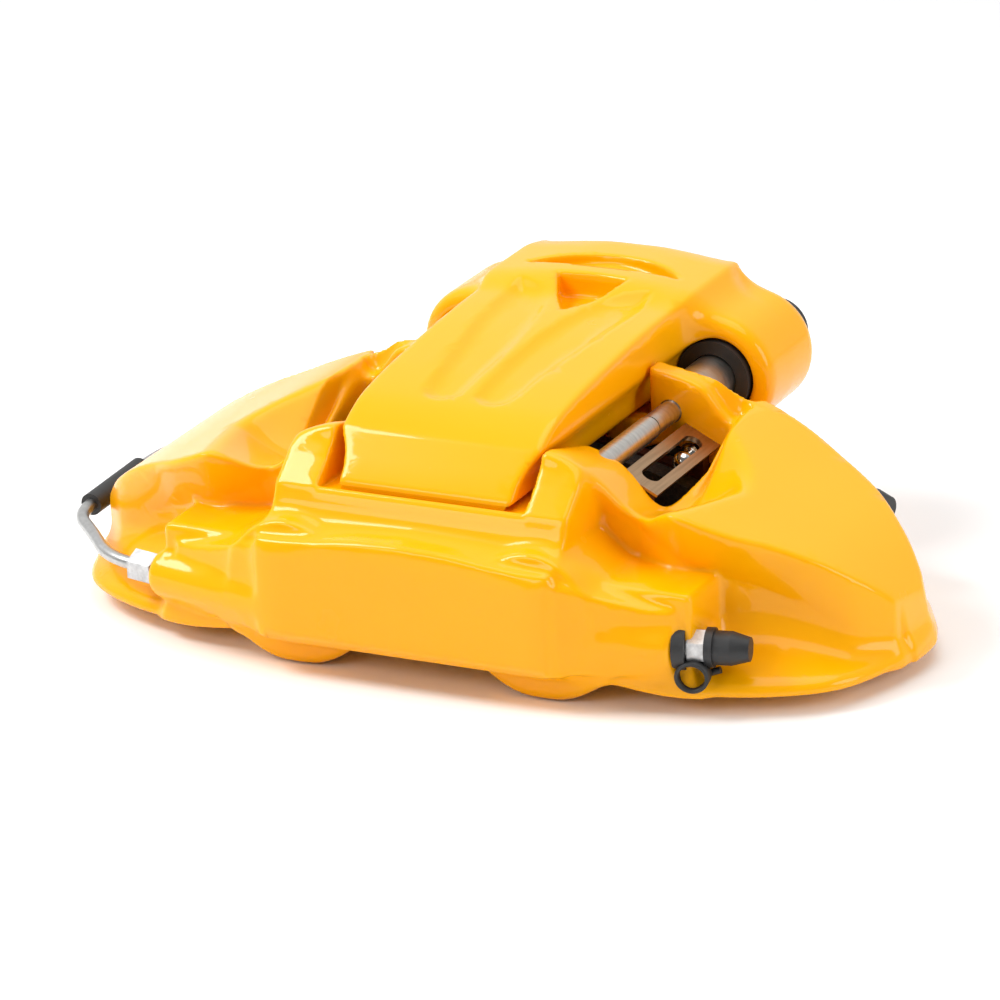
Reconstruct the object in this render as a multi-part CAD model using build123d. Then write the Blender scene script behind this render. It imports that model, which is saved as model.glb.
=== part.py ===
from build123d import *
import math
import os

# A rear brake caliper: a fixed four-piston body with a floating parking-brake fist over it.
# Millimetres. X runs along the caliper, +Y points inboard to the vehicle, +Z away from the hub.
# Everything is drawn about the disc's mid plane (Y = 0) and moved on saving, so that the
# origin is midway between the two knuckle bolts, on the face that sits on the knuckle.

# Disc and running clearances
DISC_R = 190.0
DISC_T = 22.0
DISC_AXIS_Z = -130.0
DISC_SLOT_R = DISC_R + 3.0
DISC_SLOT_HALF = DISC_T / 2 + 3.0
RUN_GAP = 0.3
FIT = 0.05
LOOSE = 0.4

# Caliper body
PLATE_Y = -93.5
PLATE_HALF = 56.0
BACK_Y = 61.0
HULL_R = 218.0
WING_R = 285.0
WING_AXIS_Z = -203.0
UNDERSIDE_Z = 6.0
TIP_X = 162.0
WINDOW_HALF_X = 75.0
WINDOW_HALF_Y = 26.0
WEB_BACK_Y = 35.0
POCKET_HALF_X = 41.2
POCKET_FRONT_Y = -75.2
POCKET_Z = 63.4
RECESS_Z = 58.0

# Hydraulic pistons, two to a side
PISTON_X = 48.5
PISTON_Z = 32.0
PISTON_R = 20.0
PISTON_LEN = 26.0
PISTON_WALL = 4.0
LOBE_R = 32.0
LOBE_FRONT_Y = -82.0
BORE_OUT_Y = -58.0
BORE_IN_Y = 54.0
SEAL_DEPTH = 7.0
SEAL_W = 4.0
SEAL_R = 22.5
BOOT_R = 23.5
BOOT_T = 3.0

# Pads
PAD_PLATE_T = 5.0
LINING_T = 9.0
PAD_OUTER_R = 188.0
PAD_INNER_R = 139.0
PAD_HALF_X = 69.0
LINING_HALF_X = 62.0
PAD_BACK_Y = DISC_T / 2 + RUN_GAP + LINING_T + PAD_PLATE_T

# Knuckle bolts, M12 into the inboard feet
KNUCKLE_X = 105.0
KNUCKLE_Y = 44.0
KNUCKLE_TAP_R = 5.1
KNUCKLE_TAP_DEPTH = 18.0
FOOT_R = 15.0
FOOT_TOP_Z = 20.0

# Floating fist and its guides
FIST_HALF_X = 39.5
FIST_FRONT_Y = -74.0
FIST_UNDER_Z = 66.0
HEAD_FRONT_Y = 64.0
HEAD_BACK_Y = 106.0
HEAD_TOP_Z = 98.0
EAR_R = 22.0
GUIDE_X = 49.0
GUIDE_Z = 69.0
GUIDE_PIN_R = 4.5
GUIDE_NECK_R = 4.1
GUIDE_SLEEVE_R = 8.9
GUIDE_BUSH_R = 11.0
GUIDE_BOOT_R = 14.2
FINGER_HALF_X = 19.0
FINGER_Z = 15.0
PARK_Z = 34.0
PARK_R = 17.0
NOSE_R = 21.5
NOSE_FRONT_Y = 40.0
PARK_BORE_BACK_Y = 88.0
SPINDLE_R = 5.0
DRIVE_R = 4.0
ACTUATOR_BOLT_X = 27.0

# Brake hose inlet, M10 x 1, on the back of the inboard half
INLET_X = 72.0
INLET_Z = 17.0
INLET_FACE_Y = 67.0
INLET_R = 4.5
INLET_DEPTH = 17.0

# Spring plates over the pads
SPRING_X = 61.5
SPRING_Z = 61.5
SPRING_TILT = 27.0
SPRING_W = 15.0
SPRING_T = 1.0
SPRING_HALF_LEN = 27.0

# Fluid ports: one axis on each side of each half, turned towards the disc
PORT_TURN = math.radians(12)
PORT_Z = 24.0
PORT_Y = -74.0
PORT_END_LEFT = 107.0
PORT_END_RIGHT = 96.0
PORT_BOSS_R = 9.0
BACK_PORT_Y = 58.0
BACK_PORT_Z = 31.5
HEX_AF = 11.0
PIPE_R = 2.375
SLEEVE_R = 4.2

TO_KNUCKLE = Pos(0, -KNUCKLE_Y, 0)
ALONG_Y = Rot(-90, 0, 0)


def save(shape, node):
    """Write one node, moved so that the origin is on the knuckle face."""
    export_step(TO_KNUCKLE * shape, f"parts/{node}.step")


def block(x, y, z):
    """A box given by its (low, high) limits along each axis."""
    size = [limits[1] - limits[0] for limits in (x, y, z)]
    middle = [(limits[1] + limits[0]) / 2 for limits in (x, y, z)]
    return Pos(*middle) * Box(*size)


def rod(x, z, y0, y1, radius):
    """A cylinder parallel to Y."""
    return Pos(x, (y0 + y1) / 2, z) * ALONG_Y * Cylinder(radius, y1 - y0)


def tube(x, z, y0, y1, outer, inner):
    return rod(x, z, y0, y1, outer) - rod(x, z, y0 - 1, y1 + 1, inner)


def prism_x(points, half):
    """A YZ outline made solid across X."""
    face = make_face(Polyline(*[(0, y, z) for y, z in points], close=True))
    return extrude(face, half, both=True, dir=(1, 0, 0))


def prism_y(points, y0, y1):
    """An XZ outline made solid along Y."""
    face = make_face(Polyline(*[(x, y0, z) for x, z in points], close=True))
    return extrude(face, y1 - y0, dir=(0, 1, 0))


def port_frame(side, half):
    """Where a port boss ends, and its outward direction. side is -1 left, half is -1 outboard."""
    reach = PORT_END_LEFT if side < 0 else PORT_END_RIGHT
    y = PORT_Y if half < 0 else BACK_PORT_Y
    z = PORT_Z if half < 0 else BACK_PORT_Z
    direction = Vector(side * math.cos(PORT_TURN), -half * math.sin(PORT_TURN), 0)
    return Vector(side * reach, y, z), direction


def along(port, s0, s1, radius):
    """A cylinder on a port's axis, from s0 to s1 beyond the boss."""
    end, direction = port
    plane = Plane(origin=end + direction * s0, z_dir=direction)
    return plane * Cylinder(radius, s1 - s0, align=(Align.CENTER, Align.CENTER, Align.MIN))


def taper(port, s0, s1, radius0, radius1):
    end, direction = port
    plane = Plane(origin=end + direction * s0, z_dir=direction)
    align = (Align.CENTER, Align.CENTER, Align.MIN)
    return plane * Cone(radius0, radius1, s1 - s0, align=align)


def hexagon(port, s0, s1):
    end, direction = port
    plane = Plane(origin=end + direction * s0, x_dir=(0, 0, 1), z_dir=direction)
    outline = plane * RegularPolygon(HEX_AF / 2, 6, major_radius=False)
    return extrude(outline, s1 - s0)


PORTS = {
    "outboard_pipe": port_frame(-1, -1),
    "outboard_bleed": port_frame(1, -1),
    "inboard_pipe": port_frame(-1, 1),
    "inboard_bleed": port_frame(1, 1),
}
SIDES = {"left": -1, "right": 1}


# Caliper body -------------------------------------------------------------------------------

def smooth_plan(front, back, half_flat):
    """A plan outline with rounded tips. front and back list (x, y) arc points from middle to tip."""
    start, end = front[0], back[-1]
    edges = [Line((-half_flat, start[1]), (half_flat, start[1])), Line((-end[0], end[1]), end)]
    route = front + back
    for side in (-1, 1):
        points = [(side * x, y) for x, y in route]
        for first in range(0, len(points) - 1, 2):
            edges.append(ThreePointArc(*points[first:first + 3]))
    return make_face(edges)


def skirt():
    """The low rim round the casting: a rounded plan whose top slopes down to its edge."""
    front = [(PLATE_HALF, PLATE_Y), (125, -72.5), (157, -38), (TIP_X, -12)]
    back = [(157, 10), (135, 44), (100, BACK_Y)]
    profile = [(PLATE_Y, UNDERSIDE_Z), (PLATE_Y, 8), (-80, 10), (-66, 15), (-50, 27), (30, 27), (44, 22),
               (BACK_Y, 12), (BACK_Y, UNDERSIDE_Z)]
    ends = [(-TIP_X - 2, UNDERSIDE_Z), (-TIP_X - 2, 8), (-150, 15), (-125, 27), (125, 27), (150, 15), (TIP_X + 2, 8),
            (TIP_X + 2, UNDERSIDE_Z)]
    outline = extrude(smooth_plan(front, back, PLATE_HALF), 40)
    return outline & prism_x(profile, TIP_X + 5) & prism_y(ends, PLATE_Y - 1, BACK_Y + 1)


def wing_block():
    """The steep-walled block between the windows and the tips, under the crown."""
    front = [(80, -62), (108, -57), (134, -43), (147, -34), (155, -24)]
    back = [(157.5, -14), (155, -4), (149, 9), (139, 26), (120, 38), (90, 42)]
    crown = rod(0, WING_AXIS_Z, PLATE_Y - 10, BACK_Y + 10, WING_R)
    return extrude(smooth_plan(front, back, 80), 120) & crown


def middle_block():
    """Plate face, sloping shelf, shoulders beside the fist and the inboard half."""
    profile = [(PLATE_Y, 14), (PLATE_Y, 49), (-77, 62), (-60, 80), (-52, 82), (-26, 74), (WEB_BACK_Y, 88),
               (BACK_Y, 84), (BACK_Y, UNDERSIDE_Z), (-60, UNDERSIDE_Z)]
    return prism_x(profile, PLATE_HALF + 1)


def hull():
    """The casting's envelope before anything is cut out of it."""
    crown = rod(0, DISC_AXIS_Z, PLATE_Y - 10, BACK_Y + 10, HULL_R)
    shape = skirt() + wing_block() + (middle_block() & crown)
    for side in (-1, 1):
        shape = shape + block(sorted((side * 53, side * 94)), (-75, -40), (UNDERSIDE_Z, 43))
        shape = shape + block(sorted((side * 90, side * 103)), (-62, -40), (UNDERSIDE_Z, 43))
    return shape


def lobes():
    """Round cylinder walls that show below the casting, and the feet on the knuckle."""
    shape = []
    for side in (-1, 1):
        shape.append(rod(side * PISTON_X, PISTON_Z, LOBE_FRONT_Y, -WINDOW_HALF_Y, LOBE_R))
        shape.append(rod(side * PISTON_X, PISTON_Z, WINDOW_HALF_Y, BACK_Y, LOBE_R))
        foot = Cylinder(FOOT_R, FOOT_TOP_Z, align=(Align.CENTER, Align.CENTER, Align.MIN))
        shape.append(Pos(side * KNUCKLE_X, KNUCKLE_Y, 0) * foot)
    return shape


def bosses():
    inlet = rod(INLET_X, INLET_Z, WINDOW_HALF_Y + 4, INLET_FACE_Y, PORT_BOSS_R)
    return [along(port, -34, 0, PORT_BOSS_R) for port in PORTS.values()] + [inlet]


def fist_room():
    """Space the fist moves in: the pocket on top, the finger's notch and the nose's notch."""
    notch = FINGER_HALF_X + 2
    return [
        block((-POCKET_HALF_X, POCKET_HALF_X), (POCKET_FRONT_Y, BACK_Y + 5), (POCKET_Z, 120)),
        block((-notch, notch), (-62, 0), (FINGER_Z - 3, 120)),
        block((-NOSE_R - 1, NOSE_R + 1), (0, BACK_Y + 5), (PARK_Z - NOSE_R - 1, 120)),
        block((-78, 78), (WEB_BACK_Y, BACK_Y + 5), (RECESS_Z, 120)),
    ]


def window_dips():
    """The curved edges of the windows: webs falling inboard, shoulders dipping outboard."""
    shape = []
    for side in (-1, 1):
        web = [(41, 86), (50, 85), (57, 82), (62, 79), (66, 73), (70, 69), (76, 67), (82, 72), (82, 120), (41, 120)]
        dip = [(41, 83), (50, 82), (58, 79), (62, 75), (66, 66), (71, 60), (78, 60), (86, 66), (92, 70), (92, 120),
               (41, 120)]
        shape.append(prism_y([(side * x, z) for x, z in web], WINDOW_HALF_Y - 1, WEB_BACK_Y + 1))
        shape.append(prism_y([(side * x, z) for x, z in dip], -62, 1 - WINDOW_HALF_Y))
    return shape


def cylinder_bores():
    shape = []
    for side in (-1, 1):
        for face, bottom in ((-WINDOW_HALF_Y, BORE_OUT_Y), (WINDOW_HALF_Y, BORE_IN_Y)):
            way = math.copysign(1, bottom)
            spans = [(0, abs(bottom - face), PISTON_R + FIT), (SEAL_DEPTH, SEAL_DEPTH + SEAL_W, SEAL_R),
                     (-1, BOOT_T, BOOT_R)]
            for start, end, radius in spans:
                limits = sorted((face + way * start, face + way * end))
                shape.append(rod(side * PISTON_X, PISTON_Z, limits[0], limits[1], radius))
    return shape


def passage(port):
    """An oblique drilling from the bottom of a port into its cylinder."""
    end, direction = port
    start = end - direction * 18
    way = Vector(math.copysign(58, end.X), math.copysign(50, end.Y), 28) - start
    plane = Plane(origin=start, z_dir=way)
    return plane * Cylinder(2.0, way.length, align=(Align.CENTER, Align.CENTER, Align.MIN))


def drillings():
    """Guide-pin holes, spring-plate grooves, fluid ports and knuckle threads."""
    shape = []
    for side in (-1, 1):
        shape.append(rod(side * GUIDE_X, GUIDE_Z, -38, -WINDOW_HALF_Y + 1, GUIDE_PIN_R))
        shape.append(rod(side * GUIDE_X, GUIDE_Z, WINDOW_HALF_Y - 1, WEB_BACK_Y + 1, GUIDE_PIN_R))
        shape.append(spring_blank(side, SPRING_HALF_LEN + 0.2, SPRING_W + 0.4, SPRING_T + 0.4))
        tap = Cylinder(KNUCKLE_TAP_R, KNUCKLE_TAP_DEPTH, align=(Align.CENTER, Align.CENTER, Align.MIN))
        shape.append(Pos(side * KNUCKLE_X, KNUCKLE_Y, 0) * tap)
    for port in PORTS.values():
        shape.append(along(port, -20.5, 1, 5.0))
        shape.append(passage(port))
    shape.append(rod(INLET_X, INLET_Z, INLET_FACE_Y - INLET_DEPTH, INLET_FACE_Y + 1, INLET_R))
    cross = Pos(INLET_X - 6, INLET_FACE_Y - INLET_DEPTH + 2, INLET_Z) * Rot(0, 90, 0) * Cylinder(1.5, 12)
    shape.append(cross)
    return shape


def caliper_body():
    shape = hull()
    for added in lobes() + bosses():
        shape = shape + added
    shape = shape & block((-200, 200), (-120, 90), (0, 120))
    window = block((-WINDOW_HALF_X, WINDOW_HALF_X), (-WINDOW_HALF_Y, WINDOW_HALF_Y), (-10, 120))
    slot = rod(0, DISC_AXIS_Z, -DISC_SLOT_HALF, DISC_SLOT_HALF, DISC_SLOT_R)
    for removed in [window, slot] + fist_room() + window_dips() + cylinder_bores() + drillings():
        shape = shape - removed
    return shape


# Hydraulic pistons, seals and boots -----------------------------------------------------------

def piston(side, way):
    """A cup piston, open towards the bottom of its bore. way is -1 outboard, 1 inboard."""
    crown = way * PAD_BACK_Y
    limits = sorted((crown, crown + way * PISTON_LEN))
    hollow = sorted((crown + way * PISTON_WALL * 1.5, crown + way * (PISTON_LEN + 1)))
    cup = rod(side * PISTON_X, PISTON_Z, limits[0], limits[1], PISTON_R)
    return cup - rod(side * PISTON_X, PISTON_Z, hollow[0], hollow[1], PISTON_R - PISTON_WALL)


def ring_in_bore(side, way, start, length, outer, inner):
    limits = sorted((way * (WINDOW_HALF_Y + start), way * (WINDOW_HALF_Y + start + length)))
    return tube(side * PISTON_X, PISTON_Z, limits[0], limits[1], outer, inner)


def save_hydraulics():
    for half, way in (("outboard", -1), ("inboard", 1)):
        for name, side in SIDES.items():
            save(piston(side, way), f"piston_{half}_{name}")
            seal = ring_in_bore(side, way, SEAL_DEPTH, SEAL_W, SEAL_R, PISTON_R + FIT)
            save(seal, f"piston_seal_{half}_{name}")
            boot = ring_in_bore(side, way, 0, BOOT_T, BOOT_R, PISTON_R + LOOSE)
            save(boot, f"dust_boot_{half}_{name}")


# Pads -------------------------------------------------------------------------------------------

def pad_sector(outer, inner, half_x, y0, y1):
    ring = tube(0, DISC_AXIS_Z, y0, y1, outer, inner)
    return ring & block((-half_x, half_x), (y0, y1), (0, 120))


def pad_plate(way):
    limits = sorted((way * (PAD_BACK_Y - PAD_PLATE_T), way * PAD_BACK_Y))
    plate = pad_sector(PAD_OUTER_R, PAD_INNER_R, PAD_HALF_X, *limits)
    for side in (-1, 1):
        ear = block(sorted((side * 55, side * 64)), limits, (40, 58))
        plate = plate + ear - rod(side * 59.5, 55.5, limits[0] - 1, limits[1] + 1, 2.0)
    return plate


def pad_lining(way):
    limits = sorted((way * (DISC_T / 2 + RUN_GAP), way * (PAD_BACK_Y - PAD_PLATE_T)))
    lining = pad_sector(PAD_OUTER_R - 1, PAD_INNER_R + 3, LINING_HALF_X, *limits)
    groove = sorted((way * (DISC_T / 2), way * (DISC_T / 2 + 7)))
    lining = lining - block((-1.5, 1.5), groove, (0, 80))
    return lining


def pad_damper(side):
    """A domed anti-squeal weight riveted to the inboard pad's ear, facing the disc."""
    face = PAD_BACK_Y - PAD_PLATE_T
    rivet = rod(side * 59.5, 55.5, face - 2.5, PAD_BACK_Y, 2.0)
    collar = rod(side * 59.5, 55.5, face - 2.5, face, 4.0)
    neck = rod(side * 59.5, 55.5, face - 4.5, face - 2.5, 2.6)
    dome = Pos(side * 59.5, face - 7.0, 55.5) * Sphere(3.9)
    return rivet + collar + neck + dome


def save_pads():
    for half, way in (("outboard", -1), ("inboard", 1)):
        save(pad_plate(way), f"pad_plate_{half}")
        save(pad_lining(way), f"pad_lining_{half}")
    for name, side in SIDES.items():
        save(pad_damper(side), f"pad_damper_{name}")


# Spring plates -----------------------------------------------------------------------------------

def spring_frame(side):
    return Pos(side * SPRING_X, 0, SPRING_Z) * Rot(0, side * SPRING_TILT, 0)


def spring_blank(side, half_len, width, thick):
    return spring_frame(side) * Box(width, 2 * half_len, thick)


def spring_plate(side):
    """Bridges the window over the pads: a slotted strip whose long slot has turned-down lips."""
    blank = spring_blank(side, SPRING_HALF_LEN, SPRING_W, SPRING_T)
    slot = SlotOverall(42, 7.0, rotation=90)
    lip = extrude(SlotOverall(43.6, 8.6, rotation=90), -1.6) - extrude(slot, -1.6)
    lipped = blank + spring_frame(side) * lip
    return lipped - spring_frame(side) * extrude(slot, 4, both=True)


# Floating fist -------------------------------------------------------------------------------------

def fist_bar():
    side = [(FIST_FRONT_Y, 65), (-57, 82), (-41, 89.5), (-10, 94), (25, 97), (60, HEAD_TOP_Z),
            (HEAD_FRONT_Y + 4, HEAD_TOP_Z), (HEAD_FRONT_Y + 4, FIST_UNDER_Z), (FIST_FRONT_Y + 2, FIST_UNDER_Z - 1)]
    return prism_x(side, FIST_HALF_X)


def fist_head():
    """The inboard head: an ear on each guide, joined across the top, with the nose below."""
    outline = [(-60, 62), (-60, 84), (-40, 94), (-18, HEAD_TOP_Z), (18, HEAD_TOP_Z), (40, 94), (60, 84),
               (60, 62), (35, 46), (35, 24), (22, 14), (-22, 14), (-35, 24), (-35, 46)]
    head = prism_y(outline, HEAD_FRONT_Y, HEAD_BACK_Y)
    for side in (-1, 1):
        head = head + rod(side * GUIDE_X, GUIDE_Z, HEAD_FRONT_Y, HEAD_BACK_Y, EAR_R)
    return head + rod(0, PARK_Z, NOSE_FRONT_Y, HEAD_BACK_Y, NOSE_R)


def fist_housing():
    finger = block((-FINGER_HALF_X, FINGER_HALF_X), (-56, -PAD_BACK_Y - RUN_GAP), (FINGER_Z, 70))
    shape = fist_bar() + fist_head() + finger
    for side in (-1, 1):
        shape = shape - rod(side * GUIDE_X, GUIDE_Z, HEAD_FRONT_Y - 1, HEAD_BACK_Y + 1, GUIDE_BUSH_R)
        shape = shape - rod(side * GUIDE_X, GUIDE_Z, HEAD_FRONT_Y - 3, HEAD_FRONT_Y + 4, GUIDE_BOOT_R)
        shape = shape - rod(side * ACTUATOR_BOLT_X, PARK_Z, HEAD_BACK_Y - 14, HEAD_BACK_Y + 1, 2.5)
    shape = shape - rod(0, PARK_Z, NOSE_FRONT_Y - 1, PARK_BORE_BACK_Y, PARK_R + FIT)
    shape = shape - rod(0, PARK_Z, NOSE_FRONT_Y + 6, NOSE_FRONT_Y + 9, 19.5)
    shape = shape - rod(0, PARK_Z, 85, HEAD_BACK_Y + 1, 6.5)
    return shape - rod(0, PARK_Z, 95, 97.5, 8.6)


def save_guides():
    for name, side in SIDES.items():
        pin = rod(side * GUIDE_X, GUIDE_Z, -38, 9, GUIDE_PIN_R)
        pin = pin + rod(side * GUIDE_X, GUIDE_Z, 9, 99, GUIDE_NECK_R)
        pin = pin + rod(side * GUIDE_X, GUIDE_Z, WINDOW_HALF_Y, WEB_BACK_Y, GUIDE_PIN_R)
        pin = pin - tube(side * GUIDE_X, GUIDE_Z, 7.6, 9, GUIDE_PIN_R + 1, GUIDE_PIN_R - 0.8)
        pin = pin + rod(side * GUIDE_X, GUIDE_Z, 98, 103, 7.0)
        save(pin, f"guide_pin_{name}")
        sleeve = tube(side * GUIDE_X, GUIDE_Z, WEB_BACK_Y, 98, GUIDE_SLEEVE_R, GUIDE_NECK_R)
        save(sleeve, f"guide_sleeve_{name}")
        bush = tube(side * GUIDE_X, GUIDE_Z, HEAD_FRONT_Y + 4, 100, GUIDE_BUSH_R, GUIDE_SLEEVE_R + FIT)
        save(bush, f"guide_bush_{name}")
        boot = tube(side * GUIDE_X, GUIDE_Z, HEAD_FRONT_Y - 2, HEAD_FRONT_Y + 4, GUIDE_BOOT_R,
                    GUIDE_SLEEVE_R + LOOSE)
        save(boot, f"guide_boot_{name}")
        cap = rod(side * GUIDE_X, GUIDE_Z, HEAD_BACK_Y, 121, 12.0)
        cap = cap - rod(side * GUIDE_X, GUIDE_Z, HEAD_BACK_Y - 1, 118, 8.5)
        cap = cap + tube(side * GUIDE_X, GUIDE_Z, 102, HEAD_BACK_Y + 1, GUIDE_BUSH_R, 8.5)
        save(cap, f"guide_cap_{name}")


def save_parking_drive():
    face = PAD_BACK_Y + RUN_GAP
    cup = rod(0, PARK_Z, face, 70, PARK_R) - rod(0, PARK_Z, face + 6, 71, 12.0)
    save(cup, "parking_piston")
    nut = tube(0, PARK_Z, 62, 69.5, 12.0, SPINDLE_R + FIT)
    save(nut, "spindle_nut")
    spindle = rod(0, PARK_Z, 50, HEAD_BACK_Y + 1.4, SPINDLE_R) + rod(0, PARK_Z, 80, 83, 13.0)
    spindle = spindle + rod(0, PARK_Z, HEAD_BACK_Y + 1.4, HEAD_BACK_Y + 10, DRIVE_R)
    save(spindle, "spindle")
    bearing = tube(0, PARK_Z, 83.1, 87.5, 13.5, SPINDLE_R + LOOSE)
    save(bearing, "thrust_bearing")
    save(tube(0, PARK_Z, 95, 97.5, 8.6, SPINDLE_R + FIT), "spindle_seal")
    save(tube(0, PARK_Z, 106.1, 107.3, 8.0, SPINDLE_R), "spindle_circlip")
    seal = tube(0, PARK_Z, NOSE_FRONT_Y + 6, NOSE_FRONT_Y + 9, 19.5, PARK_R + FIT)
    save(seal, "parking_piston_seal")
    save(tube(0, PARK_Z, 36.5, NOSE_FRONT_Y, 21.0, PARK_R + LOOSE), "parking_boot")


# Fluid fittings ------------------------------------------------------------------------------------

def bleed_screw(port):
    """Coned seat, thread, collar, hexagon and hose nipple with its cross drilling."""
    screw = taper(port, -20, -16, 1.4, 4.0) + along(port, -16, 0, 4.95) + along(port, 0, 5, 5.4)
    screw = screw + hexagon(port, 5, 11) + along(port, 11, 22, 3.0)
    return screw - along(port, -8, 23, 1.2)


def bleed_tether(port):
    """A rubber ring round the screw's collar, with the strap that hangs in a loop to the cap."""
    end, direction = port
    ring = along(port, 0.1, 4.6, 8.4) - along(port, -1, 6, 5.8)
    start = end + direction * 3.1 + Vector(0, 0, -7.6)
    path = Polyline(start, start + Vector(0, 0, -1.6) + direction * 2,
                    start + Vector(0, 0, -1.6) + direction * 9.5, start + Vector(0, 0, -0.6) + direction * 12.6)
    strap = sweep(path_section(path, 1.25), path, transition=Transition.ROUND)
    return ring + strap


def path_section(path, radius):
    return Plane(origin=path @ 0, z_dir=path % 0) * Circle(radius)


def bleed_cap(port):
    cap = along(port, 11.2, 14, 7.0) + along(port, 14, 20, 6.0)
    cap = cap + taper(port, 20, 26.5, 6.0, 4.2)
    return cap - along(port, 11, 22.5, 3.08)


def tube_nut(port):
    nut = taper(port, -14, -11, 3.2, 4.9) + along(port, -11, 1.5, 4.95) + hexagon(port, 1.5, 12)
    return nut - along(port, -15, 13, PIPE_R)


def pipe_points():
    """From one port round the left tip to the other: bends round the tip, straight over it."""
    front, front_way = PORTS["outboard_pipe"]
    back, back_way = PORTS["inboard_pipe"]
    return [front - front_way * 12, front + front_way * 26, (-149, -51, 24.5), (-163.5, -37, 25),
            (-163.5, 22, 27), (-154, 44, 29), back + back_way * 27, back - back_way * 12]


def run_length(p, q):
    return (Vector(*q) - Vector(*p)).length


def bend_radii(points):
    """Each bend as large as its two runs allow, but no larger than a pipe bender's roll."""
    radii = []
    for before, corner, after in zip(points, points[1:], points[2:]):
        turn = (Vector(*corner) - Vector(*before)).get_angle(Vector(*after) - Vector(*corner))
        shorter = min(run_length(before, corner), run_length(corner, after))
        radii.append(min(0.45 * shorter / math.tan(math.radians(turn / 2)), 60.0))
    return radii


def save_fittings():
    for half in ("outboard", "inboard"):
        port = PORTS[half + "_bleed"]
        save(bleed_screw(port), f"bleed_screw_{half}")
        save(bleed_tether(port), f"bleed_tether_{half}")
        save(bleed_cap(port), f"bleed_cap_{half}")
        save(tube_nut(PORTS[half + "_pipe"]), f"tube_nut_{half}")
    points = [tuple(Vector(*p)) for p in pipe_points()]
    radii = bend_radii(points)
    print("pipe bend radii", [round(r, 1) for r in radii])
    path = FilletPolyline(*points, radius=radii)
    pipe = sweep(path_section(path, PIPE_R), path)
    print("pipe volume", round(pipe.volume), "section by length", round(math.pi * PIPE_R ** 2 * path.length))
    save(pipe, "crossover_pipe")
    low, high = Vector(*points[3]), Vector(*points[4])
    straight = high - low
    axis = Plane(origin=low + straight * 0.16, z_dir=straight)
    align = (Align.CENTER, Align.CENTER, Align.MIN)
    length = straight.length * 0.62
    sleeve = Cylinder(SLEEVE_R, length, align=align) - Cylinder(PIPE_R + FIT, length, align=align)
    save(axis * sleeve, "pipe_sleeve")


def main():
    os.makedirs("parts", exist_ok=True)
    save(caliper_body(), "caliper_body")
    save_hydraulics()
    save_pads()
    for name, side in SIDES.items():
        save(spring_plate(side), f"spring_plate_{name}")
    save(fist_housing(), "fist_housing")
    save_guides()
    save_parking_drive()
    save_fittings()


main()
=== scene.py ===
import math

import bmesh
import bpy
import numpy as np
import openvdb
from mathutils import Matrix, Vector

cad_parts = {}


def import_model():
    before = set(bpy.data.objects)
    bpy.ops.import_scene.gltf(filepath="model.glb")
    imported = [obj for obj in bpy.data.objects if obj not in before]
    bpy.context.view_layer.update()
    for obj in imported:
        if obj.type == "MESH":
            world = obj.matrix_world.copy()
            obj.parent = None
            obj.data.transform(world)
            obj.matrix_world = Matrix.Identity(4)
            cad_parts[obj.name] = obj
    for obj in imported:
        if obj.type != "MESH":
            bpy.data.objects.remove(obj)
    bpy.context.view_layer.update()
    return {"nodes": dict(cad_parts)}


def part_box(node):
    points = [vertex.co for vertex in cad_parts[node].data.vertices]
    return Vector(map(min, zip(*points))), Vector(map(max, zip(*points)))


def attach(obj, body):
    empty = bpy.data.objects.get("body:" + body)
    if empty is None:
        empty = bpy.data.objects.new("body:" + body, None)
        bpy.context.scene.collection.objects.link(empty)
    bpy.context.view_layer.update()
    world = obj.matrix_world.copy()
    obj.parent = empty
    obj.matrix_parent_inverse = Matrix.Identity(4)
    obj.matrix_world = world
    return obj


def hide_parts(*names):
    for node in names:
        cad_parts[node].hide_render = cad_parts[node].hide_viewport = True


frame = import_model()
COLLECTION = bpy.context.scene.collection
MM = 0.001

# Sculpting works in millimetres about the disc's mid plane, as the casting is laid out:
# X along the caliper, Y inboard, Z up from the feet.
MID_Y = (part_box("pad_plate_outboard")[0].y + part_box("pad_plate_inboard")[1].y) / 2 / MM
STEP = 1.1
SLIMMING = 0.02
DISC_AXIS_Z = -130.0
CROWN_R = 218.0
SLOT_R = 193.0
SLOT_HALF = 14.0
WINDOW_FRONT_X = 69.5
WINDOW_BACK_X = 75.0
WINDOW_Y = 26.0
FIST_X = 39.5
POCKET_X = 40.6
FIST_BACK_Y = 106
GUIDE_X = 49.0
GUIDE_Z = 69.0
GUIDE_BORE_R = 10.6
EAR_R = 22.0
PISTON_X = 48.5
PISTON_Z = 32.0
PISTON_BORE_R = 20.8
LOBE_Z = 33.0
LOBE_R = 33.0
BULGE_R = 22.6
PARK_Z = 34.0
PARK_BORE_R = 17.4
PARK_NOSE_R = 21.5
ACTUATOR_BOLT_X = 27.0
FOOT_X = 105
FOOT_Y = 44
FOOT_R = 15
KNUCKLE_TAP_R = 5.1
INLET_X = 72.0
INLET_Z = 17.0
INLET_BOSS_R = 9.0
INLET_BORE_R = 4.5
PORT_BOSS_R = 9.0
PORT_TURN = math.radians(12)


# Distance-field tools -------------------------------------------------------------------------

def smin(a, b, k):
    """Union with a fillet of about k."""
    h = np.maximum(k - np.abs(a - b), 0) / k
    return np.minimum(a, b) - h * h * k * 0.25


def smax(a, b, k):
    """Intersection with a rounded edge of about k."""
    return -smin(-a, -b, k)


def cut(a, b, k):
    """a without b."""
    return smax(a, -b, k)


def slab(w, low, high):
    """Everything between two parallel planes."""
    return np.maximum(low - w, w - high)


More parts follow.
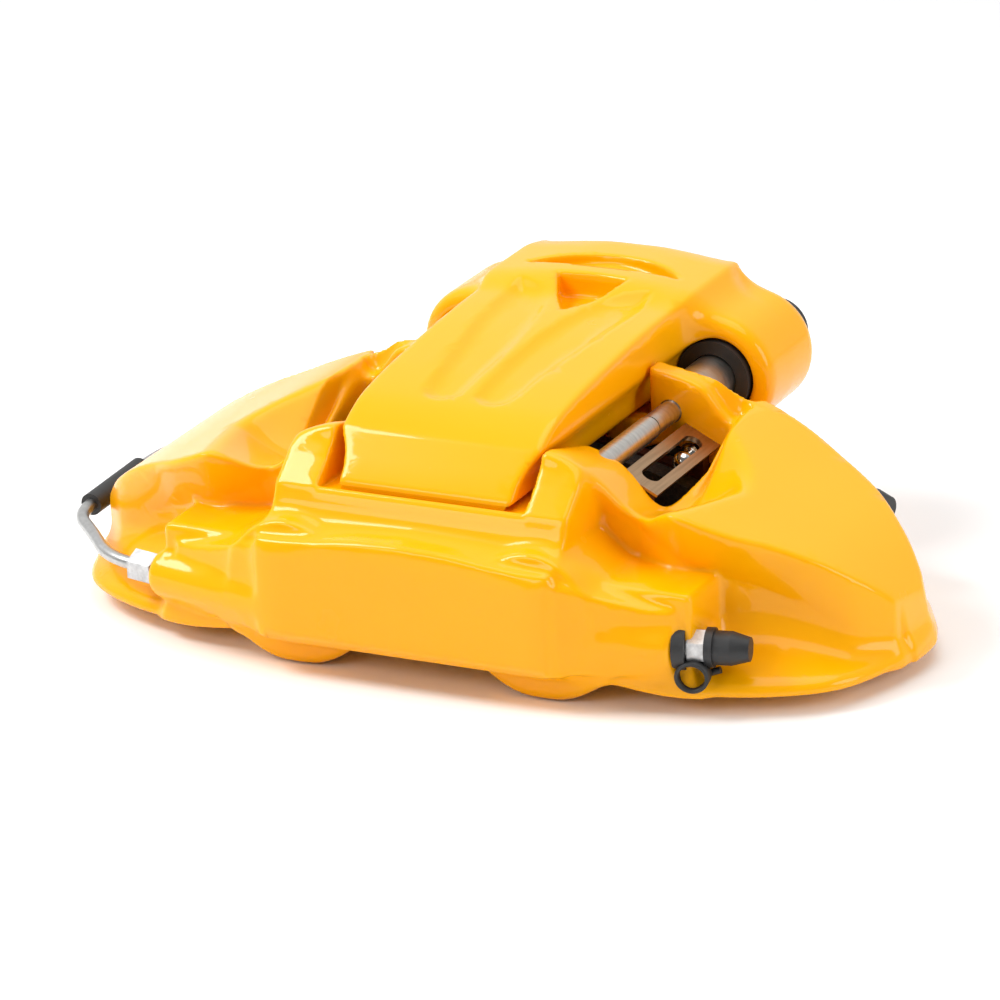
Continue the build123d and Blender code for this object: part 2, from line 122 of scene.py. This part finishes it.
def curve(points, parts=6):
    """A smooth line through points, for outlines that are arcs in the casting."""
    p = [np.array(q, float) for q in points]
    p = [2 * p[0] - p[1]] + p + [2 * p[-1] - p[-2]]
    line = []
    for i in range(1, len(p) - 2):
        for t in np.arange(parts) / parts:
            a = 2 * p[i] + (p[i + 1] - p[i - 1]) * t
            b = (2 * p[i - 1] - 5 * p[i] + 4 * p[i + 1] - p[i + 2]) * t * t
            c = (3 * p[i] - p[i - 1] - 3 * p[i + 1] + p[i + 2]) * t ** 3
            line.append(tuple((a + b + c) / 2))
    return line + [tuple(p[-2])]


def outline(points, u, v):
    """Distance to a closed outline, negative inside."""
    best, side = None, None
    for (ax, ay), (bx, by) in zip(points, points[1:] + points[:1]):
        ex, ey = bx - ax, by - ay
        if ex == 0 and ey == 0:
            continue
        wx, wy = u - ax, v - ay
        t = np.clip((wx * ex + wy * ey) / (ex * ex + ey * ey), 0, 1)
        d = (wx - ex * t) ** 2 + (wy - ey * t) ** 2
        up, down, left = v >= ay, v < by, ex * wy > ey * wx
        flip = (up & down & left) | ~(up | down | left)
        best = d if best is None else np.minimum(best, d)
        side = flip if side is None else side ^ flip
    return np.where(side, -1, 1) * np.sqrt(best)


def relief(z, points, along):
    """Distance above a surface whose height is a smooth function of one coordinate."""
    line = np.array(curve(points, 8))
    height = np.interp(along, line[:, 0], line[:, 1])
    rise = np.gradient(np.interp(np.arange(400), line[:, 0], line[:, 1]))
    slope = np.interp(along, np.arange(400), rise)
    return (z - height) / np.sqrt(1 + slope ** 2)


def rod_y(x, z, cx, cz, radius):
    """An endless cylinder along Y."""
    return np.hypot(x - cx, z - cz) - radius


def rod_along(x, y, z, end, way, back, radius, k):
    """A round-ended cylinder that reaches its end point and runs back into the casting."""
    px, py, pz = x - end[0], y - end[1], z - end[2]
    s = px * way[0] + py * way[1]
    r = np.sqrt(np.maximum(px ** 2 + py ** 2 + pz ** 2 - s ** 2, 0)) - radius
    return smax(r, slab(s, -back, 0), k)


def sample(values, index):
    """Trilinear lookup of a grid at fractional indices."""
    top = np.array(values.shape) - 1.001
    index = np.clip(index, 0, top)
    base = index.astype(int)
    f = index - base
    total = 0
    for corner in np.ndindex(2, 2, 2):
        weight = np.prod(np.where(corner, f, 1 - f), axis=1)
        i, j, k = (base + corner).T
        total = total + weight * values[i, j, k]
    return total


def sculpt(name, field, low, high):
    """Meshes the zero surface of a distance field, with normals from the field itself."""
    axes = [np.arange(a, b + STEP, STEP, dtype=np.float32) for a, b in zip(low, high)]
    values = field(*np.meshgrid(*axes, indexing="ij", sparse=True)).astype(np.float32)
    grid = openvdb.FloatGrid(3.0 * STEP)
    grid.copyFromArray(np.clip(values, -3 * STEP, 3 * STEP))
    points, triangles, quads = grid.convertToPolygons(isovalue=0.0, adaptivity=SLIMMING)
    slope = [g / STEP for g in np.gradient(values)]
    for _ in range(3):
        lean = np.stack([sample(g, points) for g in slope], axis=1)
        size = np.maximum((lean ** 2).sum(axis=1, keepdims=True), 0.05)
        move = sample(values, points)[:, None] * lean / size / STEP
        points = points - np.clip(move, -0.6, 0.6)
    lean = np.stack([sample(g, points) for g in slope], axis=1)
    normals = lean / np.maximum(np.linalg.norm(lean, axis=1, keepdims=True), 1e-6)
    place = (np.array(low) + points * STEP + np.array([0, MID_Y, 0])) * MM
    faces = [tuple(int(i) for i in face) for group in (triangles, quads) for face in group]
    mesh = bpy.data.meshes.new(name)
    mesh.from_pydata(place.tolist(), [], faces)
    if face_turn(place, faces, normals) < 0:
        mesh.flip_normals()
    mesh.update()
    mesh.shade_smooth()
    mesh.normals_split_custom_set_from_vertices(normals.tolist())
    piece = bpy.data.objects.new(name, mesh)
    COLLECTION.objects.link(piece)
    return piece


def face_turn(place, faces, normals):
    """Positive when the faces wind outwards, judged on a sample of them."""
    total = 0.0
    for face in faces[::97]:
        a, b, c = place[face[0]], place[face[1]], place[face[2]]
        total += float(np.dot(np.cross(b - a, c - a), normals[face[0]]))
    return total


# Caliper body -----------------------------------------------------------------------------------

WING_FRONT = curve([(72, -59), (80, -62), (88, -64), (96, -63.5), (110, -58), (122, -50), (134, -43.5),
                    (146, -36), (157, -25)])
TIP_BACK = (159, -3)
WING_BACK = {1: curve([(156, 2), (150, 8), (143, 14), (130, 24), (115, 31), (100, 37), (85, 40)]),
             -1: curve([(157, 4), (152, 16), (145, 29), (135, 38), (120, 43), (103, 43.5), (85, 42)])}
WING_TOP = [(0, 86), (60, 80), (78, 73.2), (86, 70.3), (96, 66.2), (110, 60), (122, 54.8), (134, 49),
            (142, 44), (150, 37.5), (157, 29.5), (163, 20), (170, 8)]
RIM_FRONT = curve([(40, -88), (67, -86), (97, -79), (125, -71), (147, -57), (157.5, -37), (161.5, -14),
                   (161, -4)])
RIM_BACK = curve([(161, -4), (156, 10), (147, 28), (130, 46), (108, 57), (90, 61)])
SHELF = curve([(-93, 50.5), (-88, 51.6), (-83, 54.4), (-79, 59), (-76, 65.6)])
SHOULDER = [(41, 84), (45, 83.4), (50, 81.5), (55, 79), (59, 75.6), (63, 71), (67, 66.5), (72, 63.5),
            (78, 63), (84, 65), (92, 69), (102, 76), (120, 90), (170, 95)]
WEB = [(36, 86), (41, 86), (50, 85), (57, 82.5), (62, 79.5), (66, 74.5), (70, 70), (74, 68.3), (79, 73),
       (86, 82), (170, 95)]
PLATE_TOP = [(0, 54.5), (20, 53.6), (40, 51), (53, 48.5), (66, 45), (80, 41), (100, 38), (170, 36)]
TROUGH_TOP = [(0, 55), (53, 53), (60, 51), (68, 47.5), (76, 44.5), (103, 43.5), (170, 43)]
# Each port: side (1 right), half (1 inboard), and the x, y and z of its end.
PORT_ENDS = ((-1, -1, 107.0, -74.0, 24.0), (1, -1, 96.0, -74.0, 24.0),
             (-1, 1, 107.0, 58.0, 31.5), (1, 1, 96.0, 58.0, 31.5))


def wing(x, a, y, z):
    """The steep-walled block on each side, with a flat face at its tip."""
    top = np.interp(a, *np.array(curve(WING_TOP, 8)).T)
    halves = []
    for side in (1, -1):
        plan = outline([(30, -59)] + WING_FRONT + [TIP_BACK] + WING_BACK[side] + [(30, 42)], side * x, y)
        down = np.clip(top - z - 2, 0, 60)
        hollow = np.minimum(0.42 * down, 7.5) * np.clip((146 - a) / 36, 0, 1)
        lean = np.where(y < -20, hollow, -0.2 * down)
        halves.append(smax(plan + lean, relief(z, WING_TOP, a), 1.6))
    return smax(np.minimum(*halves), 8 - z, 2)


def body_outside(x, y, z):
    """The body's outer masses: lower rim, front plate, shoulders, inboard wall and wings."""
    a = np.abs(x)
    crown = np.hypot(a, z - DISC_AXIS_Z) - CROWN_R

    rim = outline([(-20, -88)] + RIM_FRONT + RIM_BACK + [(-20, 61)], a, y)
    grade = 0.3 + 0.3 * np.clip((150 - a) / 60, 0, 1)
    roof = (z - 10.5 - grade * np.clip(-rim, -4, 45)) / np.sqrt(1 + grade ** 2)
    under = 12.5 - 6.0 * np.clip((a - 55) / 45, 0, 1)
    skirt = smax(smax(rim, roof, 4), under - z, 3)

    face = outline([(-20, -93.7), (52.5, -93.7), (97, -79), (101, -64), (98, -44), (-20, -44)], a, y)
    blend = np.clip(-face / 14, 0, 1)
    blend = blend * blend * (3 - 2 * blend)
    low = relief(z, PLATE_TOP, a) * (1 - blend) + relief(z, TROUGH_TOP, a) * blend
    low = smax(smax(face, low, 1.8), 13.5 - z, 3)

    profile = [(-93.7, 14), (-93.7, 47)] + SHELF
    profile += [(-66.5, 73.2), (-57.5, 82.8), (-52, 85), (-20, 84), (-20, 14)]
    middle = smax(outline(profile, y, z), a - 57.5, 2.5)

    back = smax(outline([(20, 6), (20, 90), (61, 90), (61, 12), (56, 6)], y, z), a - 66, 8)
    back = smax(back, crown, 4)

    block = smax(smax(slab(a, 40, 103.5), slab(y, -77, -48), 2), slab(z, 10, 44), 2.4)
    shape = smin(wing(x, a, y, z), middle, 5)
    shape = smin(shape, back, 6)
    shape = smin(shape, block, 2.5)
    shape = smin(shape, skirt, 8)
    return smin(shape, low, 3), a


def body_added(shape, x, y, z, a):
    """Piston lobes, knuckle feet, and the bosses of the ports and the inlet."""
    lobe = rod_y(a, z, PISTON_X, LOBE_Z, LOBE_R)
    front_lobe = smax(smax(lobe, slab(y, -84, -20), 3), z - 32, 6)
    back_lobe = smax(lobe, slab(y, 20, 60.5), 4)
    shape = smin(smin(shape, front_lobe, 4), back_lobe, 6)
    bulge = smax(rod_y(a, z, 48.0, 33.5, BULGE_R), slab(y, -88.5, -50), 2)
    shape = smin(shape, bulge, 3)
    foot = smax(np.hypot(a - FOOT_X, y - FOOT_Y) - FOOT_R, slab(z, 0, 20), 3)
    shape = smin(shape, foot, 8)
    for side, half, reach, port_y, port_z in PORT_ENDS:
        way = (side * math.cos(PORT_TURN), -half * math.sin(PORT_TURN))
        boss = rod_along(x, y, z, (side * reach, port_y, port_z), way, 52.0, PORT_BOSS_R, 3)
        shape = smin(shape, boss, 3 if half < 0 else 7)
    inlet = smax(rod_y(x, z, INLET_X, INLET_Z, INLET_BOSS_R), slab(y, 30, 67), 2)
    return smin(shape, inlet, 5)


def body_field(x, y, z):
    """The whole body: its outside, less the dips, the fist's pocket, the windows and the bores."""
    shape, a = body_outside(x, y, z)
    shape = body_added(shape, x, y, z, a)
    along = np.clip((y + WINDOW_Y) / (2 * WINDOW_Y), 0, 1)
    along = along * along * (3 - 2 * along)
    fall = z + 0.3 * np.clip(y + 60, 0, 34)
    dip = relief(fall, SHOULDER, a) * (1 - along) + relief(z, WEB, a) * along
    shape = smax(shape, dip - 30 * np.clip((y - 33) / 4, 0, 1), 3.5)
    recess = smax(smax(a - 78, slab(y, 35, 90), 6), 58 - z, 6)
    shape = cut(shape, recess, 2.5)
    pocket = np.maximum(np.maximum(a - POCKET_X, -74.9 - y), 64.0 - z)
    shape = cut(shape, pocket, 0.8)
    notch = smax(smax(a - 21, slab(y, -62, 0), 8), 12 - z, 3)
    nose = smax(a - 22.5, np.maximum(-y, 12 - z), 3)
    shape = cut(cut(shape, notch, 2.5), nose, 2.5)
    ends = WINDOW_FRONT_X + (WINDOW_BACK_X - WINDOW_FRONT_X) * np.clip((y + WINDOW_Y) / WINDOW_Y, 0, 1)
    window = smax(a - ends, np.abs(y) - WINDOW_Y, 6)
    shape = cut(shape, window, 2.5)
    slot = smax(np.hypot(a, z - DISC_AXIS_Z) - SLOT_R, np.abs(y) - SLOT_HALF, 4)
    shape = cut(shape, slot, 2.5)
    bore = rod_y(a, z, PISTON_X, PISTON_Z, PISTON_BORE_R)
    shape = cut(shape, np.maximum(bore, slab(y, -57, 53)), 1)
    shape = cut(shape, np.maximum(bore - 3.0, np.abs(y) - 29.2), 1)
    shape = cut(shape, np.maximum(np.hypot(a - FOOT_X, y - FOOT_Y) - KNUCKLE_TAP_R, z - 18), 1.5)
    shape = cut(shape, np.maximum(rod_y(x, z, INLET_X, INLET_Z, INLET_BORE_R), slab(y, 50, 70)), 1.5)
    return smax(shape, 0.4 - z, 1.5)


# Floating fist ----------------------------------------------------------------------------------

FIST_TOP = curve([(-57, 82.5), (-50, 86.3), (-41, 89.6), (-25, 92.3), (-10, 94), (25, 97), (60, 98),
                  (110, 98)])
HEAD_TOP = [(-2, 98), (18, 98), (34, 95.5), (50, 91), (62, 84), (70, 72), (68, 60), (56, 50), (36, 44)]
HEAD_REAR = curve([(72, 84), (62, 92), (48, 95), (34, 97), (22, 101), (10, 104.5), (0, 105.5), (-20, 105.5)])
LEAF_INNER = curve([(2, -36), (1.2, -10), (2, 12), (4.7, 32), (8.6, 47), (15, 56), (25, 61), (27.5, 59.5)], 4)
LEAF_OUTER = curve([(27.5, 59.5), (28, 45), (26.5, 25), (23.5, 5), (20.5, -16), (18, -35), (13, -40),
                    (7, -39.8), (2, -36)], 4)
LEAF = LEAF_INNER + LEAF_OUTER[1:-1]
TRIANGLE = curve([(-14, 66.5), (0, 68), (14, 66.5)], 4)
TRIANGLE += curve([(14, 66.5), (8, 54), (0, 41)], 3)[1:] + [(-8, 54)]
ARC_FRONT = curve([(-31, 75), (-16, 76.3), (0, 77), (16, 76.3), (31, 75)], 4)
ARC_BACK = curve([(31, 75), (25, 81), (14, 86.5), (0, 89), (-14, 86.5), (-25, 81), (-31, 75)], 4)


def fist_field(x, y, z):
    """The floating casting: a bar over the disc, a head with two guide ears, a nose and a finger."""
    a = np.abs(x)
    side = [(-74, 64.8), (-66.5, 73)] + FIST_TOP + [(110, 66), (-72, 66)]
    bar = smax(a - FIST_X, outline(side, y, z), 2)
    corner = 6.5 - np.minimum(FIST_X - a, 6.5), 6.5 - np.clip(z - 64.5, -9, 6.5)
    bar = np.maximum(bar, np.where((y < -60) & (a < 42), np.hypot(*corner) - 6.5, -9))
    head = outline(curve(HEAD_TOP) + [(35, 24), (22, 14), (-22, 14)], a, z)
    rear = outline([(-20, 64), (64, 64)] + HEAD_REAR, a, y)
    head = smax(head, smax(rear, slab(y, 64, FIST_BACK_Y), 2), 9)
    ear = smax(rod_y(a, z, GUIDE_X, GUIDE_Z, EAR_R), slab(y, 64, FIST_BACK_Y), 6)
    shape = smin(bar, smin(head, ear, 3), 16)
    nose = smax(rod_y(a, z, 0, PARK_Z, PARK_NOSE_R), slab(y, 40, FIST_BACK_Y), 3)
    shape = smin(shape, nose, 5)
    finger = smax(smax(a - 19, slab(y, -56, -25.6), 5), slab(z, 15, 72), 3)
    shape = smin(shape, finger, 6)
    shape = smax(shape, y - FIST_BACK_Y, 1)
    shape = fist_bores(shape, a, y, z)
    return fist_relief(shape, x, a, y, z)


def fist_bores(shape, a, y, z):
    """Guide bores with their boot recesses, the parking bore and the actuator's bolt holes."""
    guide = rod_y(a, z, GUIDE_X, GUIDE_Z, GUIDE_BORE_R)
    shape = cut(shape, guide, 1)
    shape = cut(shape, np.maximum(guide - 4.2, y - 68), 2)
    park = rod_y(a, z, 0, PARK_Z, PARK_BORE_R)
    shape = cut(shape, np.maximum(park, y - 88), 1.5)
    shape = cut(shape, rod_y(a, z, 0, PARK_Z, 6.6), 1)
    return cut(shape, np.maximum(rod_y(a, z, ACTUATOR_BOLT_X, PARK_Z, 2.6), 92 - y), 1)


def fist_relief(shape, x, a, y, z):
    """Two leaf-shaped pockets, a deep triangle between their tips and an arc behind it."""
    upper = np.clip((z - 78) / 8, 0, 1)
    leaf = np.clip(-outline(LEAF, a, y) / 5.5, 0, 1)
    depth = 2.0 * leaf * (1.5 - 0.5 * leaf)
    shape = shape + upper * depth
    triangle = smax(outline(TRIANGLE, x, y), 92 - z, 2.5)
    shape = cut(shape, triangle, 1.5)
    arc = outline(ARC_FRONT + ARC_BACK[1:-1], x, y)
    floor = 93.2 + 0.42 * np.clip(y - 76, 0, 14)
    return cut(shape, smax(arc, floor - z, 1.5), 1)


body = sculpt("caliper_casting", body_field, (-166, -94, -4), (166, 73, 92))
fist = sculpt("fist_casting", fist_field, (-75, -78, 8), (75, 110, 102))
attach(body, "caliper")
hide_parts("caliper_body")
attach(fist, "fist")
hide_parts("fist_housing")


LOOP_TURNS = 40
LOOP_WIDE, LOOP_HIGH = 5.4, 5.0
LOOP_BAND = ((-2.6, -0.7), (2.6, -0.7), (3.0, 0), (2.6, 0.7), (-2.6, 0.7), (-3.0, 0))


def strap(name, side, half, reach, port_y, port_z):
    """The flat rubber loop that hangs from the bleeder's collar ring and holds the cap."""
    way = Vector((side * math.cos(PORT_TURN), -half * math.sin(PORT_TURN), 0))
    end = Vector((side * reach, port_y + MID_Y, port_z))
    across = way.cross(Vector((0, 0, 1)))
    centre = end + way * 8.2 + Vector((0, 5.5 * half, -8.6))
    mesh = bmesh.new()
    rows = []
    for i in range(LOOP_TURNS):
        angle = 2 * math.pi * i / LOOP_TURNS
        radial = way * math.cos(angle) * LOOP_WIDE + Vector((0, 0, math.sin(angle) * LOOP_HIGH))
        out = radial.normalized()
        rows.append([mesh.verts.new((centre + radial + across * w + out * t) * MM) for w, t in LOOP_BAND])
    for i, row in enumerate(rows):
        after = rows[(i + 1) % LOOP_TURNS]
        for j in range(len(LOOP_BAND)):
            k = (j + 1) % len(LOOP_BAND)
            mesh.faces.new((row[j], after[j], after[k], row[k]))
    bmesh.ops.recalc_face_normals(mesh, faces=mesh.faces)
    data = bpy.data.meshes.new(name)
    mesh.to_mesh(data)
    data.shade_smooth()
    piece = bpy.data.objects.new(name, data)
    COLLECTION.objects.link(piece)
    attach(piece, "caliper")
    return piece


straps = [strap("tether_loop_inboard" if port[1] > 0 else "tether_loop_outboard", *port)
          for port in PORT_ENDS if port[0] > 0]


# Materials --------------------------------------------------------------------------------------

class Nodes:
    """Small helper to wire a material's nodes."""

    def __init__(self, name):
        self.material = bpy.data.materials.new(name)
        self.material.use_nodes = True
        self.tree = self.material.node_tree
        self.shader = self.tree.nodes["Principled BSDF"]
        self.place = self.node("ShaderNodeTexCoord").outputs["Object"]

    def node(self, kind):
        return self.tree.nodes.new(kind)

    def link(self, source, target):
        self.tree.links.new(source, target)

    def set(self, **values):
        for key, value in values.items():
            self.shader.inputs[key.replace("_", " ")].default_value = value

    def scaled(self, scale):
        mapping = self.node("ShaderNodeMapping")
        mapping.inputs["Scale"].default_value = scale
        self.link(self.place, mapping.inputs["Vector"])
        return mapping.outputs["Vector"]

    def noise(self, scale, detail=3.0, rough=0.5, stretch=None):
        made = self.node("ShaderNodeTexNoise")
        made.inputs["Scale"].default_value = scale
        made.inputs["Detail"].default_value = detail
        made.inputs["Roughness"].default_value = rough
        self.link(self.scaled(stretch) if stretch else self.place, made.inputs["Vector"])
        return made.outputs["Fac"]

    def ramp(self, source, stops):
        made = self.node("ShaderNodeValToRGB")
        band = made.color_ramp
        while len(band.elements) < len(stops):
            band.elements.new(0.5)
        for element, (at, color) in zip(band.elements, stops):
            element.position = at
            element.color = (*color, 1)
        self.link(source, made.inputs["Fac"])
        return made.outputs["Color"]

    def color(self, source, stops):
        self.link(self.ramp(source, stops), self.shader.inputs["Base Color"])

    def roughness(self, source, low, high):
        made = self.node("ShaderNodeMapRange")
        made.inputs["To Min"].default_value = low
        made.inputs["To Max"].default_value = high
        self.link(source, made.inputs["Value"])
        self.link(made.outputs["Result"], self.shader.inputs["Roughness"])

    def bump(self, layers):
        """layers lists (height, distance in metres, strength)."""
        before = None
        for height, distance, strength in layers:
            made = self.node("ShaderNodeBump")
            made.inputs["Distance"].default_value = distance
            made.inputs["Strength"].default_value = strength
            self.link(height, made.inputs["Height"])
            if before:
                self.link(before, made.inputs["Normal"])
            before = made.outputs["Normal"]
        self.link(before, self.shader.inputs["Normal"])


def yellow_paint():
    m = Nodes("yellow_paint")
    m.color(m.noise(9, 2), [(0.3, (1.0, 0.415, 0.0)), (0.7, (1.0, 0.44, 0.0))])
    m.roughness(m.noise(60, 3), 0.2, 0.3)
    m.set(Coat_Weight=0.4, Coat_Roughness=0.03, IOR=1.4, Specular_IOR_Level=0.15)
    m.bump([(m.noise(55, 2), 0.0004, 0.12), (m.noise(900, 1), 0.00004, 0.15)])
    return m.material


def metal(name, light, dark, rough, stretch, grain, scratch=0.15):
    m = Nodes(name)
    fine = m.noise(grain, 4, 0.6, stretch)
    m.color(fine, [(0.3, dark), (0.7, light)])
    m.roughness(m.noise(grain * 0.3, 4, 0.6, stretch), rough - 0.07, rough + 0.1)
    m.set(Metallic=1.0)
    m.bump([(fine, 0.00005, scratch), (m.noise(40, 2), 0.0002, 0.05)])
    return m.material


def rubber(name, rough=0.5):
    m = Nodes(name)
    m.color(m.noise(70, 4), [(0.3, (0.012, 0.012, 0.012)), (0.75, (0.03, 0.03, 0.031))])
    m.roughness(m.noise(150, 4), rough - 0.1, rough + 0.12)
    m.bump([(m.noise(1500, 2), 0.00004, 0.3)])
    return m.material


def speckled_lining():
    m = Nodes("friction_lining")
    specks = [(0.35, (0.02, 0.018, 0.016)), (0.6, (0.06, 0.055, 0.05)), (0.72, (0.2, 0.14, 0.06))]
    m.color(m.noise(900, 5, 0.7), specks)
    m.roughness(m.noise(300, 4), 0.75, 0.95)
    m.bump([(m.noise(700, 5, 0.7), 0.0003, 0.6)])
    return m.material


def brown_plate():
    m = Nodes("pad_backing")
    m.color(m.noise(120, 4), [(0.3, (0.05, 0.012, 0.006)), (0.75, (0.1, 0.026, 0.014))])
    m.roughness(m.noise(200, 3), 0.4, 0.6)
    m.bump([(m.noise(900, 3), 0.00008, 0.3)])
    return m.material


FINISH = {
    "yellow_paint": yellow_paint(),
    "satin_steel": metal("satin_steel", (0.66, 0.64, 0.6), (0.5, 0.48, 0.45), 0.3, (0.2, 1, 0.2), 700),
    "bright_steel": metal("bright_steel", (0.8, 0.78, 0.74), (0.6, 0.58, 0.55), 0.12, (1, 1, 1), 300),
    "zinc_steel": metal("zinc_steel", (0.62, 0.62, 0.62), (0.42, 0.42, 0.42), 0.3, (1, 1, 1), 500, 0.4),
    "piston_metal": metal("piston_metal", (0.62, 0.63, 0.64), (0.5, 0.51, 0.52), 0.33, (0.2, 1, 0.2), 600),
    "plated_pipe": metal("plated_pipe", (0.58, 0.58, 0.57), (0.46, 0.46, 0.45), 0.32, (1, 1, 1), 400),
    "bronzed_spring_steel": metal("bronzed_spring_steel", (0.5, 0.34, 0.2), (0.36, 0.24, 0.14),
                                  0.33, (1, 0.05, 1), 900),
    "black_rubber": rubber("black_rubber"),
    "pad_backing": brown_plate(),
    "friction_lining": speckled_lining(),
}


# The first entry that begins a node's name says its finish, so longer names come first.
NODE_FINISH = {
    "guide_pin": "satin_steel", "guide_sleeve": "satin_steel", "guide_bush": "black_rubber",
    "guide_boot": "black_rubber", "guide_cap": "black_rubber", "piston_seal": "black_rubber",
    "dust_boot": "black_rubber", "parking_piston_seal": "black_rubber", "parking_boot": "black_rubber",
    "parking_piston": "piston_metal", "piston_": "piston_metal", "pad_plate": "pad_backing",
    "pad_lining": "friction_lining", "pad_damper": "bright_steel", "spring_plate": "bronzed_spring_steel",
    "spindle_seal": "black_rubber", "spindle": "satin_steel", "thrust_bearing": "bright_steel",
    "bleed_screw": "zinc_steel", "bleed": "black_rubber", "tube_nut": "zinc_steel",
    "crossover_pipe": "plated_pipe", "pipe_sleeve": "black_rubber",
}


def finish_of(node):
    return next((slot for start, slot in NODE_FINISH.items() if node.startswith(start)), "yellow_paint")


for piece in (body, fist):
    piece.data.materials.clear()
    piece.data.materials.append(FINISH["yellow_paint"])
for piece in straps:
    piece.data.materials.append(FINISH["black_rubber"])
for node, thing in frame["nodes"].items():
    material = FINISH[finish_of(node)]
    for place in thing.material_slots:
        place.link = "OBJECT"
        place.material = material


# Studio -----------------------------------------------------------------------------------------

FLOOR_HALF = 6.0


def floor():
    far = FLOOR_HALF
    mesh = bpy.data.meshes.new("studio_floor")
    mesh.from_pydata([(-far, -far, 0), (far, -far, 0), (far, far, 0), (-far, far, 0)], [], [(0, 1, 2, 3)])
    thing = bpy.data.objects.new("studio_floor", mesh)
    COLLECTION.objects.link(thing)
    m = Nodes("studio_floor")
    m.color(m.noise(3, 2), [(0.3, (0.93, 0.93, 0.93)), (0.7, (0.95, 0.95, 0.95))])
    m.set(Roughness=0.9)
    mesh.materials.append(m.material)


def lamp(name, place, aim, wide, high, watts):
    data = bpy.data.lights.new(name, "AREA")
    data.shape = "ELLIPSE"
    data.size, data.size_y = wide, high
    data.energy = watts
    thing = bpy.data.objects.new(name, data)
    thing.location = place
    thing.rotation_euler = (Vector(aim) - Vector(place)).to_track_quat("-Z", "Y").to_euler()
    COLLECTION.objects.link(thing)


CAMERA_PLACE = (0.9308, -1.8320, 0.8103)
CAMERA_AZIMUTH = 27.7
CAMERA_RISE = 20.95
CAMERA_ROLL = -2.96


def camera():
    azimuth, rise = math.radians(CAMERA_AZIMUTH), math.radians(CAMERA_RISE)
    roll = math.radians(CAMERA_ROLL)
    back = Vector((math.sin(azimuth) * math.cos(rise), -math.cos(azimuth) * math.cos(rise), math.sin(rise)))
    right = Vector((math.cos(azimuth), math.sin(azimuth), 0))
    up = back.cross(right)
    data = bpy.data.cameras.new("camera")
    data.lens = 216.0
    data.sensor_width = 36.0
    data.clip_end = 50.0
    thing = bpy.data.objects.new("camera", data)
    turn = Matrix((right, up, back)).transposed().to_4x4()
    thing.matrix_world = Matrix.Translation(CAMERA_PLACE) @ turn @ Matrix.Rotation(roll, 4, "Z")
    COLLECTION.objects.link(thing)
    bpy.context.scene.camera = thing


def world():
    """A soft grey surround, darker on the camera's side."""
    made = bpy.data.worlds.new("studio")
    made.use_nodes = True
    tree = made.node_tree
    shade = tree.nodes["Background"]
    way = tree.nodes.new("ShaderNodeTexCoord")
    facing = tree.nodes.new("ShaderNodeVectorMath")
    facing.operation = "DOT_PRODUCT"
    facing.inputs[1].default_value = (-0.46, 0.88, 0.1)
    tree.links.new(way.outputs["Generated"], facing.inputs[0])
    ramp = tree.nodes.new("ShaderNodeValToRGB")
    ramp.color_ramp.elements[0].position = 0.35
    ramp.color_ramp.elements[0].color = (0.2, 0.2, 0.2, 1)
    ramp.color_ramp.elements[1].position = 0.85
    ramp.color_ramp.elements[1].color = (0.85, 0.85, 0.85, 1)
    span = tree.nodes.new("ShaderNodeMapRange")
    span.inputs["From Min"].default_value = -1.0
    tree.links.new(facing.outputs["Value"], span.inputs["Value"])
    tree.links.new(span.outputs["Result"], ramp.inputs["Fac"])
    tree.links.new(ramp.outputs["Color"], shade.inputs["Color"])
    bpy.context.scene.world = made


floor()
camera()
world()
lamp("key_left", (-0.79, -0.375, 0.97), (-0.02, -0.11, 0.075), 0.52, 0.6, 11)
lamp("top", (0.1, 0.1, 1.5), (0, 0, 0), 1.6, 1.2, 9)
lamp("front", (-0.6, -1.9, 1.2), (0, 0, 0.03), 1.2, 0.8, 10)
lamp("right", (1.3, -0.1, 0.6), (0, 0, 0.05), 0.7, 0.9, 7)
bpy.context.scene.view_settings.view_transform = "Standard"
